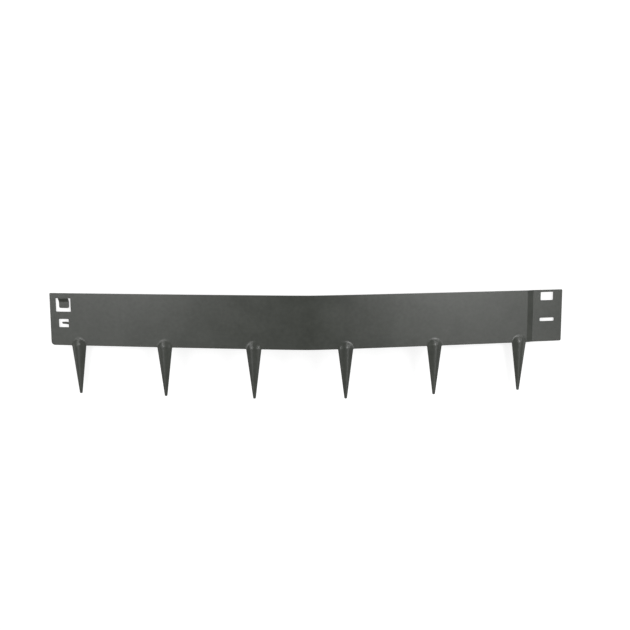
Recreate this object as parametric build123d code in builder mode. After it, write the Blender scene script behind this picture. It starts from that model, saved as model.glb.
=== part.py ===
"""Steel lawn edging: one strip of pressed and coated sheet steel with ground spikes along its lower edge.

The strip is one piece of sheet. It is bent once across its middle and lies on its two ends with the bend
upwards. Its fluted spikes are parts of the same sheet. The hook end has a hook and a tongue that are cut out
of the sheet and pressed back. The other end is set back, and has the window and the slot that take the hook
and the tongue of the next strip.

X runs along the strip from the hook end, Y from the spike tips to the top edge, and Z up from the floor.
Places are lengths along the face from the hook end. Drops are measured down the face from the top edge.
All sizes are in millimetres and degrees.
"""

import math
import os

from build123d import *

# Strip
strip_length = 1000.0
strip_height = 100.0
sheet = 1.5
top_corner_radius = 1.5
hook_end_corner_radius = 7.0
set_back_corner_radius = 3.0

# Bend across the middle, eased off on both sides into the long even bow of the strip
bend_place = 503.0
bend_angle = 10.6
bend_radius = 115.0
easing_angle = 3.7
easing_radius = 775.0
bow_radius = 11000.0
hook_end_flat = 48.0

# Set back end
set_back_place = 925.5
set_back_depth = 3.5
set_back_angle = 15.5
set_back_inside_radius = 4.0

# Spikes, each with a domed head that is pressed into the strip
spike_count = 6
first_spike_place = 56.4
spike_pitch = 170.7
spike_length = 92.7
spike_root_width = 28.5
spike_tip_width = 4.6
spike_tip_radius = 1.5
spike_root_radius = 1.6

# Flute of a spike: a crown between two hollow feet, which the head turns round the root of the spike
head_radius = 16.0
flute_height = 5.0
flute_tip_height = 0.5
crown_share = 0.66
head_rim = 0.05

# Hook
hook_middle = 27.0
hook_root_width = 20.4
hook_end_width = 19.6
hook_length = 19.0
hook_corner_radius = 3.0
hook_clearance = 0.4
hook_window_drop = 9.9
hook_window_width = 30.3
hook_window_height = 25.5

# Tongue
tongue_root_place = 36.9
tongue_drop = 57.4
tongue_root_width = 4.4
tongue_end_width = 4.0
tongue_length = 15.1
tongue_upper_radius = 0.6
tongue_lower_radius = 2.4
tongue_clearance = 1.0
tongue_window_width = 20.0
tongue_window_height = 15.6

# Bends of the hook and the tongue
tab_angle = 30.0
tab_inside_radius = 1.5

# Window and slot for the next strip
overlap = 59.0
latch_window_drop = 4.4
latch_side_clearance = 2.85
latch_entry_clearance = 1.9
slot_end_clearance = 8.6
slot_root_clearance = 6.1
slot_side_clearance = 1.0
window_corner_radius = 1.2
slot_corner_radius = 1.8

# Derived sizes
top_edge = (strip_height + spike_length) / 2
through = 3 * sheet
hook_depth = 2 * sheet + hook_clearance
tongue_depth = 2 * sheet + tongue_clearance
next_strip_place = strip_length - overlap
spike_places = [first_spike_place + number * spike_pitch for number in range(spike_count)]


def step_slope(depth, angle, inside_radius):
    """Straight length between the two bends of a step, when the step is as deep as given."""
    both_bends = (2 * inside_radius + sheet) * (1 - math.cos(math.radians(angle)))
    return (depth - both_bends) / math.sin(math.radians(angle))


def step_run(depth, angle, inside_radius):
    """Distance that a step takes up along the sheet that it leaves."""
    both_bends = (2 * inside_radius + sheet) * math.sin(math.radians(angle))
    return both_bends + step_slope(depth, angle, inside_radius) * math.cos(math.radians(angle))


def flute_arcs(half_width, height):
    """Turn, crown radius and foot radius of a flute with the given half width and height."""
    turn = 2 * math.atan(height / half_width)
    both_radii = half_width / math.sin(turn)
    return math.degrees(turn), crown_share * both_radii, (1 - crown_share) * both_radii


# Face of the strip seen from its top edge, drawn from the hook end
half_bend_length = math.radians(bend_radius * bend_angle / 2 + easing_radius * easing_angle)
left_bow_length = bend_place - half_bend_length - hook_end_flat
right_bow_length = set_back_place - bend_place - half_bend_length
set_back_slope = step_slope(set_back_depth, set_back_angle, set_back_inside_radius)
set_back_bends = (2 * set_back_inside_radius + sheet) * math.radians(set_back_angle)
end_panel_length = strip_length - set_back_place - set_back_slope - set_back_bends

with BuildLine() as drawn_face:
    hook_flat = Line((0, 0), (hook_end_flat, 0))
    left_bow_angle = math.degrees(left_bow_length / bow_radius)
    left_bow = JernArc(hook_flat @ 1, hook_flat % 1, bow_radius, -left_bow_angle)
    easing_in = JernArc(left_bow @ 1, left_bow % 1, easing_radius, -easing_angle)
    bend = JernArc(easing_in @ 1, easing_in % 1, bend_radius, -bend_angle)
    easing_out = JernArc(bend @ 1, bend % 1, easing_radius, -easing_angle)
    right_bow_angle = math.degrees(right_bow_length / bow_radius)
    right_bow = JernArc(easing_out @ 1, easing_out % 1, bow_radius, -right_bow_angle)
    step_top = JernArc(right_bow @ 1, right_bow % 1, set_back_inside_radius + sheet, -set_back_angle)
    step_side = Line(step_top @ 1, step_top @ 1 + (step_top % 1) * set_back_slope)
    step_foot = JernArc(step_side @ 1, step_side % 1, set_back_inside_radius, set_back_angle)
    end_panel = Line(step_foot @ 1, step_foot @ 1 + (step_foot % 1) * end_panel_length)

# Laid down on the heel of its set back end and on its hook end's heel or hook, whichever reaches lower, with
# the middle of its length at zero
set_back_heel = end_panel @ 1 + (end_panel % 1).rotate(Axis.Z, -90) * sheet
hook_heel = Vector(0, -sheet)
hook_back = Vector(hook_middle - hook_root_width / 2, -hook_depth - sheet)
floor_lines = [set_back_heel - hook_heel, set_back_heel - hook_back]
floor_angle = max(math.degrees(math.atan2(line.Y, line.X)) for line in floor_lines)
floor_level = set_back_heel.rotate(Axis.Z, -floor_angle).Y
laid_face = drawn_face.line.rotate(Axis.Z, -floor_angle)
laid_face = laid_face.moved(Location((-laid_face.bounding_box().center().X, -floor_level)))
face_wire = laid_face.wires()[0]


def station(place, drop):
    """Plane on the face, with x along the strip, y towards the top edge and z out of the face."""
    point = face_wire.position_at(place, PositionMode.LENGTH)
    along = face_wire.tangent_at(place, PositionMode.LENGTH)
    return Plane(origin=(point.X, top_edge - drop, point.Y), x_dir=(along.X, 0, along.Y),
                 z_dir=(-along.Y, 0, along.X))


# Hook: hangs from the top of its window, and steps back behind the sheet of the next strip
hook_root = station(hook_middle, hook_window_drop)
hook_slope = step_slope(hook_depth, tab_angle, tab_inside_radius)
hook_step_run = step_run(hook_depth, tab_angle, tab_inside_radius)
hook_flat_length = hook_length - hook_step_run

with BuildPart() as hook:
    with BuildSketch(Plane(origin=hook_root.origin, x_dir=-hook_root.y_dir, z_dir=-hook_root.x_dir)):
        with BuildLine():
            neck = JernArc((0, 0), (1, 0), tab_inside_radius + sheet, -tab_angle)
            slope = Line(neck @ 1, neck @ 1 + (neck % 1) * hook_slope)
            level = JernArc(slope @ 1, slope % 1, tab_inside_radius, tab_angle)
            Line(level @ 1, level @ 1 + Vector(hook_flat_length, 0))
            offset(amount=sheet, side=Side.RIGHT)
        make_face()
    extrude(amount=hook_root_width, both=True)
    with BuildSketch(hook_root):
        with BuildLine():
            Polyline((-hook_root_width / 2, 0), (hook_root_width / 2, 0), (hook_end_width / 2, -hook_length),
                     (-hook_end_width / 2, -hook_length), close=True)
        make_face()
        fillet(vertices().sort_by(Axis.Y)[:2], radius=hook_corner_radius)
    extrude(amount=-hook_depth - 2 * sheet, mode=Mode.INTERSECT)

# Tongue: reaches from the side of its window towards the hook end, and steps back in the same way
tongue_root = station(tongue_root_place, tongue_drop)
tongue_slope = step_slope(tongue_depth, tab_angle, tab_inside_radius)
tongue_step_run = step_run(tongue_depth, tab_angle, tab_inside_radius)

with BuildPart() as tongue:
    with BuildSketch(Plane(origin=tongue_root.origin, x_dir=-tongue_root.x_dir, z_dir=tongue_root.y_dir)):
        with BuildLine():
            neck = JernArc((0, 0), (1, 0), tab_inside_radius + sheet, -tab_angle)
            slope = Line(neck @ 1, neck @ 1 + (neck % 1) * tongue_slope)
            level = JernArc(slope @ 1, slope % 1, tab_inside_radius, tab_angle)
            Line(level @ 1, level @ 1 + Vector(tongue_length - tongue_step_run, 0))
            offset(amount=sheet, side=Side.RIGHT)
        make_face()
    extrude(amount=tongue_root_width, both=True)
    with BuildSketch(tongue_root):
        with BuildLine():
            Polyline((0, -tongue_root_width / 2), (0, tongue_root_width / 2),
                     (-tongue_length, tongue_end_width / 2), (-tongue_length, -tongue_end_width / 2),
                     close=True)
        make_face()
        fillet(vertices().sort_by(lambda corner: corner.X + corner.Y)[0], radius=tongue_lower_radius)
        fillet(vertices().sort_by(lambda corner: corner.X - corner.Y)[0], radius=tongue_upper_radius)
    extrude(amount=-tongue_depth - 2 * sheet, mode=Mode.INTERSECT)

# Windows of the set back end, which take the hook and the tongue of the next strip
latch_window_width = hook_root_width + 2 * latch_side_clearance
latch_window_height = hook_flat_length + 2 * latch_entry_clearance
latch_window = station(next_strip_place + hook_middle, latch_window_drop + latch_window_height / 2)
slot_width = tongue_root_width + 2 * slot_side_clearance
slot_start = next_strip_place + tongue_root_place - tongue_length - slot_end_clearance
slot_stop = next_strip_place + tongue_root_place + slot_root_clearance
slot_length = slot_stop - slot_start
slot = station((slot_start + slot_stop) / 2, tongue_drop)
hook_window = station(hook_middle, hook_window_drop + hook_window_height / 2)
tongue_window = station(tongue_root_place - tongue_window_width / 2, tongue_drop)

# Spike: a flute of the sheet that narrows to its tip, trimmed to the spike's outline
head_turn, crown_radius, foot_radius = flute_arcs(head_radius, flute_height - head_rim)
tip_flute_width = spike_tip_width * 2 * head_radius / spike_root_width
flute_length = spike_length + sheet

with BuildPart() as spike:
    for down, width, height in ((0, 2 * head_radius, flute_height - head_rim),
                                (flute_length, tip_flute_width, flute_tip_height)):
        turn, crown, foot = flute_arcs(width / 2, height)
        with BuildSketch(Plane.XZ.offset(down)):
            with BuildLine():
                left_foot = JernArc((-width / 2, head_rim), (1, 0), foot, turn)
                top = JernArc(left_foot @ 1, left_foot % 1, crown, -2 * turn)
                JernArc(top @ 1, top % 1, foot, turn)
                offset(amount=sheet, side=Side.RIGHT)
            make_face()
    loft(ruled=True)
    with BuildSketch():
        with BuildLine():
            Polyline((-spike_root_width / 2, 0), (-spike_tip_width / 2, -spike_length),
                     (spike_tip_width / 2, -spike_length), (spike_root_width / 2, 0), close=True)
        make_face()
        with Locations((0, head_radius / 2)):
            Rectangle(4 * head_radius, head_radius)
        root_corners = vertices().group_by(Axis.Y)[1].sort_by(lambda corner: abs(corner.X))[:2]
        fillet(root_corners, radius=spike_root_radius)
        fillet(vertices().group_by(Axis.Y)[0], radius=spike_tip_radius)
    extrude(amount=2 * flute_height, both=True, mode=Mode.INTERSECT)

# Head: the outer form of the flute turned half round the root of the spike, down into the sheet
with BuildPart() as head:
    with BuildSketch(Plane.XZ):
        with BuildLine():
            dome = JernArc((0, flute_height), (1, 0), crown_radius, -head_turn)
            ring = JernArc(dome @ 1, dome % 1, foot_radius, head_turn)
            Polyline(ring @ 1, ((ring @ 1).X, -sheet / 2), (0, -sheet / 2), dome @ 0)
        make_face()
    revolve(axis=Axis.Z, revolution_arc=180)

# Hollow of the head, out through the back of the sheet
with BuildPart() as head_hollow:
    with BuildSketch(Plane.XZ):
        with BuildLine():
            dome = JernArc((0, flute_height - sheet), (1, 0), crown_radius - sheet, -head_turn)
            ring = JernArc(dome @ 1, dome % 1, foot_radius + sheet, head_turn)
            Polyline(ring @ 1, ((ring @ 1).X, -2 * sheet), (0, -2 * sheet), dome @ 0)
        make_face()
    revolve(axis=Axis.Z, revolution_arc=180)

with BuildPart() as edging_strip:
    # Bent strip, with its corners rounded
    with BuildSketch(Plane.XZ.offset(-top_edge)):
        with BuildLine():
            add(laid_face)
            offset(amount=sheet, side=Side.RIGHT)
        make_face()
    extrude(amount=strip_height)
    for across, up, radius in ((-1, 1, top_corner_radius), (1, 1, top_corner_radius),
                               (-1, -1, hook_end_corner_radius), (1, -1, set_back_corner_radius)):
        short_edges = edges().filter_by(lambda edge: abs(edge.length - sheet) < sheet / 1000)
        fillet(short_edges.sort_by(lambda edge: across * edge.center().X + up * edge.center().Y)[-1], radius)

    # Windows of both ends
    with BuildSketch(hook_window):
        RectangleRounded(hook_window_width, hook_window_height, window_corner_radius)
    with BuildSketch(tongue_window):
        RectangleRounded(tongue_window_width, tongue_window_height, window_corner_radius)
    with BuildSketch(latch_window):
        RectangleRounded(latch_window_width, latch_window_height, window_corner_radius)
    with BuildSketch(slot):
        RectangleRounded(slot_length, slot_width, slot_corner_radius)
    extrude(amount=through, both=True, mode=Mode.SUBTRACT)
    add(hook.part)
    add(tongue.part)

    # Heads and spikes along the lower edge
    with Locations(*[station(place, strip_height) for place in spike_places]):
        add(head.part)
        add(head_hollow.part, mode=Mode.SUBTRACT)
        add(spike.part)

edging_strip.part.label = "edging_strip"
os.makedirs("parts", exist_ok=True)
export_step(edging_strip.part, "parts/edging_strip.step")
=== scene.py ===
"""Looks of the steel lawn edging: slate powder coat over pressed sheet steel, on a pale studio floor.

The strip keeps the shape of its CAD model. This script gives it a finish, smooths the shading at the seams
between its pressed faces, and adds the floor, the lamps and the camera. Lengths are in metres.
"""

import math

import bpy
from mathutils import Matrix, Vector


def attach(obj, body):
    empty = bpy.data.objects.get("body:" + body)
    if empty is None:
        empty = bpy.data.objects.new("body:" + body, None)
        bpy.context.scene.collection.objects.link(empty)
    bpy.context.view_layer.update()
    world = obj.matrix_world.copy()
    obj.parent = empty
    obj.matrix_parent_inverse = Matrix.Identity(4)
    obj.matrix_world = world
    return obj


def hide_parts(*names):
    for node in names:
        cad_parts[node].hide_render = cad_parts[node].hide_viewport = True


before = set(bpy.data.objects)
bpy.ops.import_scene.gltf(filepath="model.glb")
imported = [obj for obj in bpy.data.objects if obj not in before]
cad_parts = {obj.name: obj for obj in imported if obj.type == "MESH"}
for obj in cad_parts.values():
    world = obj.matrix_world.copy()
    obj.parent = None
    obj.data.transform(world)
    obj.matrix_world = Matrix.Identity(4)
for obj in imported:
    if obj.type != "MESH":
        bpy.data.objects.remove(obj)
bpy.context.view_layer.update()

# Tones and roughness of the coat
COAT_DARK = (0.0415, 0.0450, 0.0385, 1.0)
COAT_LIGHT = (0.0562, 0.0605, 0.0523, 1.0)
# Paler colour of the edges: partly wear, partly a painted highlight along the edges
COAT_EDGE_WEAR_AND_HIGHLIGHT = (0.0680, 0.0710, 0.0660, 1.0)
COAT_ROUGHNESS = (0.285, 0.335)

# Noise in the coat: size of its patches, octaves of finer noise, and the values that are stretched out
MOTTLE_SIZE = 0.050
MOTTLE_DETAIL = 4.0
GRAIN_SIZE = 0.007
GRAIN_DETAIL = 2.0
GRAIN_SHARE = 0.45
PEEL_SIZE = 0.0018
PEEL_DETAIL = 1.0
PEEL_DEPTH = 0.00004
NOISE_RANGE = (0.35, 0.65)

# Softened edges, paler as wear and painted highlight where the softened normal leaves the plain one:
# cosines at start and at full strength
EDGE_RADIUS = 0.0005
EDGE_SAMPLES = 8
EDGE_FACING = (0.98, 0.75)
EDGE_WEAR_AND_HIGHLIGHT = 0.7

# Seams between pressed faces: grid that joins their corners, and widest angle in degrees that is smoothed
WELD_STEP = 0.00001
SEAM_ANGLE = 40.0

# Floor, whose glow goes from its first level to its second between two distances from the middle
FLOOR_SIZE = 12.0
FLOOR_COLOUR = (0.4, 0.4, 0.4, 1.0)
FLOOR_ROUGHNESS = 0.9
FLOOR_GLOW = (0.78, 0.92)
FLOOR_GLOW_REACH = (0.8, 2.5)

# World, as a light and as the background that the camera sees
WORLD_LIGHT = 0.28
WORLD_BACKGROUND = 1.0
WHITE = (1.0, 1.0, 1.0, 1.0)

# Lamps: name, degrees from straight up towards +X and then towards +Y, and watts
LAMP_DISTANCE = 2.2
LAMP_SIZE = (0.9, 0.6)
LAMP_TARGET = (0.0, 0.0, 0.04)
SOFTBOXES = (
    ("left", -56.0, 10.0, 4.0),
    ("near_left", -38.0, 10.0, 8.8),
    ("left_raised", -56.0, 32.0, 5.8),
    ("near_right", 35.0, 10.0, 13.6),
    ("right_raised", 43.0, 32.0, 5.0),
    ("right_side", 62.0, 18.0, 4.5),
    ("low_left", -45.0, -15.0, 1.9),
    ("low_right", 45.0, -15.0, 2.6),
)

# Camera, with its turn about X, Y and Z in degrees, and its lens and sensor in millimetres
CAMERA_PLACE = (-0.01946, 0.24451, 1.52579)
CAMERA_TURN = (-7.263, -1.291, -0.289)
CAMERA_LENS = 45.6
CAMERA_SENSOR = 36.0

# Colour sockets of a Mix node, which share their names with its other sockets
MIX_COLOURS = (6, 7)
MIX_COLOUR_RESULT = 2


class Graph:
    """The nodes of a material or of the world, each made and linked in one call."""

    def __init__(self, tree):
        tree.nodes.clear()
        self.tree = tree

    def node(self, kind, settings=None, inputs=None):
        """A node with its settings, and its inputs set to values or linked to outputs."""
        made = self.tree.nodes.new("ShaderNode" + kind)
        for key, value in (settings or {}).items():
            setattr(made, key, value)
        for key, value in (inputs or {}).items():
            if isinstance(value, bpy.types.NodeSocket):
                self.tree.links.new(value, made.inputs[key])
            else:
                made.inputs[key].default_value = value
        return made

    def noise(self, place, size, detail):
        """Noise whose patches are about as large as given."""
        inputs = {"Vector": place, "Scale": 1 / size, "Detail": detail}
        return self.node("TexNoise", inputs=inputs).outputs["Fac"]

    def span(self, value, ends, results=(0.0, 1.0)):
        """The value stretched so that the two ends become the two results, and held between them."""
        inputs = {"Value": value, "From Min": ends[0], "From Max": ends[1],
                  "To Min": results[0], "To Max": results[1]}
        return self.node("MapRange", inputs=inputs).outputs["Result"]

    def calculate(self, operation, first, second):
        """Result of an operation on two numbers."""
        return self.node("Math", {"operation": operation}, {0: first, 1: second}).outputs["Value"]

    def measure(self, operation, *vectors):
        """Number that an operation gives for one vector or two."""
        return self.node("VectorMath", {"operation": operation}, dict(enumerate(vectors))).outputs["Value"]

    def colours(self, factor, first, second):
        """Mix of two colours."""
        inputs = {"Factor": factor, MIX_COLOURS[0]: first, MIX_COLOURS[1]: second}
        return self.node("Mix", {"data_type": "RGBA"}, inputs).outputs[MIX_COLOUR_RESULT]

    def surface(self, inputs):
        """The material's surface, with the given inputs."""
        shader = self.node("BsdfPrincipled", inputs=inputs)
        self.node("OutputMaterial", inputs={"Surface": shader.outputs["BSDF"]})


def new_material(name):
    """A material without nodes, and the graph to fill it with."""
    material = bpy.data.materials.new(name)
    material.use_nodes = True
    return material, Graph(material.node_tree)


def coat_material():
    """Satin powder coat: soft mottling, fine waviness, and a paler coat on the edges of the sheet, partly
    wear and partly a painted edge highlight.
    """
    material, graph = new_material("slate_powder_coat")
    place = graph.node("TexCoord").outputs["Object"]
    mottle = graph.noise(place, MOTTLE_SIZE, MOTTLE_DETAIL)
    grain = graph.noise(place, GRAIN_SIZE, GRAIN_DETAIL)
    blend = graph.node("Mix", inputs={"Factor": GRAIN_SHARE, "A": mottle, "B": grain}).outputs["Result"]
    body = graph.colours(graph.span(blend, NOISE_RANGE), COAT_DARK, COAT_LIGHT)
    rounded = graph.node("Bevel", {"samples": EDGE_SAMPLES}, {"Radius": EDGE_RADIUS}).outputs["Normal"]
    facing = graph.measure("DOT_PRODUCT", rounded, graph.node("NewGeometry").outputs["Normal"])
    # Paler edges, partly wear and partly a painted highlight, broken up by the grain
    edge = graph.span(facing, EDGE_FACING, (0.0, EDGE_WEAR_AND_HIGHLIGHT))
    wear_and_highlight = graph.calculate("MULTIPLY", edge, graph.span(grain, NOISE_RANGE))
    tone = graph.colours(wear_and_highlight, body, COAT_EDGE_WEAR_AND_HIGHLIGHT)
    gloss = graph.span(mottle, NOISE_RANGE, COAT_ROUGHNESS)
    peel = graph.noise(place, PEEL_SIZE, PEEL_DETAIL)
    bump = graph.node("Bump", inputs={"Height": peel, "Distance": PEEL_DEPTH, "Normal": rounded})
    graph.surface({"Base Color": tone, "Roughness": gloss, "Normal": bump.outputs["Normal"]})
    return material


def floor_material():
    """Pale floor that the camera and reflections see as almost white, and that keeps the strip's shadow."""
    material, graph = new_material("studio_floor")
    path = graph.node("LightPath").outputs
    seen = graph.calculate("MAXIMUM", path["Is Camera Ray"], path["Is Glossy Ray"])
    away = graph.measure("LENGTH", graph.node("TexCoord").outputs["Object"])
    glow = graph.calculate("MULTIPLY", seen, graph.span(away, FLOOR_GLOW_REACH, FLOOR_GLOW))
    graph.surface({"Base Color": FLOOR_COLOUR, "Roughness": FLOOR_ROUGHNESS, "Specular IOR Level": 0.0,
                   "Emission Color": WHITE, "Emission Strength": glow})
    return material


def smooth_copy(node):
    """The node's mesh again, with its normals shared across the seams between the pressed faces."""
    mesh = node.data.copy()
    mesh.name = "dressed_strip"
    piece = bpy.data.objects.new("dressed_strip", mesh)
    piece.matrix_world = node.matrix_world.copy()
    bpy.context.collection.objects.link(piece)
    normals = [Vector(normal.vector) for normal in mesh.corner_normals]
    meeting = {}
    for face in mesh.polygons:
        for corner in face.loop_indices:
            place = mesh.vertices[mesh.loops[corner].vertex_index].co
            key = tuple(round(value / WELD_STEP) for value in place)
            meeting.setdefault(key, []).append((corner, face.area))
    shared = list(normals)
    limit = math.cos(math.radians(SEAM_ANGLE))
    for corners in meeting.values():
        for corner, _ in corners:
            total = Vector()
            for other, area in corners:
                if normals[other].dot(normals[corner]) > limit:
                    total += normals[other] * area
            shared[corner] = total.normalized()
    mesh.normals_split_custom_set(shared)
    return piece


def make_floor():
    """Level floor under the strip."""
    half = FLOOR_SIZE / 2
    corners = [(-half, -half, 0), (half, -half, 0), (half, half, 0), (-half, half, 0)]
    mesh = bpy.data.meshes.new("studio_floor")
    mesh.from_pydata(corners, [], [(0, 1, 2, 3)])
    mesh.materials.append(floor_material())
    floor = bpy.data.objects.new("studio_floor", mesh)
    bpy.context.collection.objects.link(floor)


def make_softbox(name, across, along, power):
    """Soft rectangular lamp that points at the strip from the given direction."""
    side, up = math.radians(across), math.radians(along)
    way = Vector((math.sin(side) * math.cos(up), math.sin(up), math.cos(side) * math.cos(up)))
    data = bpy.data.lights.new(name, "AREA")
    data.shape = "RECTANGLE"
    data.size, data.size_y = LAMP_SIZE
    data.energy = power
    lamp = bpy.data.objects.new(name, data)
    lamp.location = Vector(LAMP_TARGET) + way * LAMP_DISTANCE
    lamp.rotation_mode = "QUATERNION"
    lamp.rotation_quaternion = way.to_track_quat("Z", "Y")
    lamp.visible_camera = False
    bpy.context.collection.objects.link(lamp)


def make_world():
    """Even dim light from all around, behind a background that the camera sees as white."""
    world = bpy.data.worlds.new("studio")
    world.use_nodes = True
    graph = Graph(world.node_tree)
    seen = graph.node("LightPath").outputs["Is Camera Ray"]
    level = graph.span(seen, (0.0, 1.0), (WORLD_LIGHT, WORLD_BACKGROUND))
    shade = graph.node("Background", inputs={"Color": WHITE, "Strength": level})
    graph.node("OutputWorld", inputs={"Surface": shade.outputs["Background"]})
    bpy.context.scene.world = world


def make_camera():
    """Camera at the photograph's place, above the face of the lying strip."""
    data = bpy.data.cameras.new("photo_camera")
    data.lens = CAMERA_LENS
    data.sensor_width = CAMERA_SENSOR
    camera = bpy.data.objects.new("photo_camera", data)
    camera.location = CAMERA_PLACE
    camera.rotation_euler = [math.radians(angle) for angle in CAMERA_TURN]
    bpy.context.collection.objects.link(camera)
    bpy.context.scene.camera = camera


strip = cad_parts["edging_strip"]
coat = coat_material()
dressed = smooth_copy(strip)
for material_slot in dressed.material_slots:
    material_slot.material = coat
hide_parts("edging_strip")
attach(dressed, "root")

make_floor()
make_world()
for softbox in SOFTBOXES:
    make_softbox(*softbox)
make_camera()

bpy.context.scene.view_settings.view_transform = "Standard"
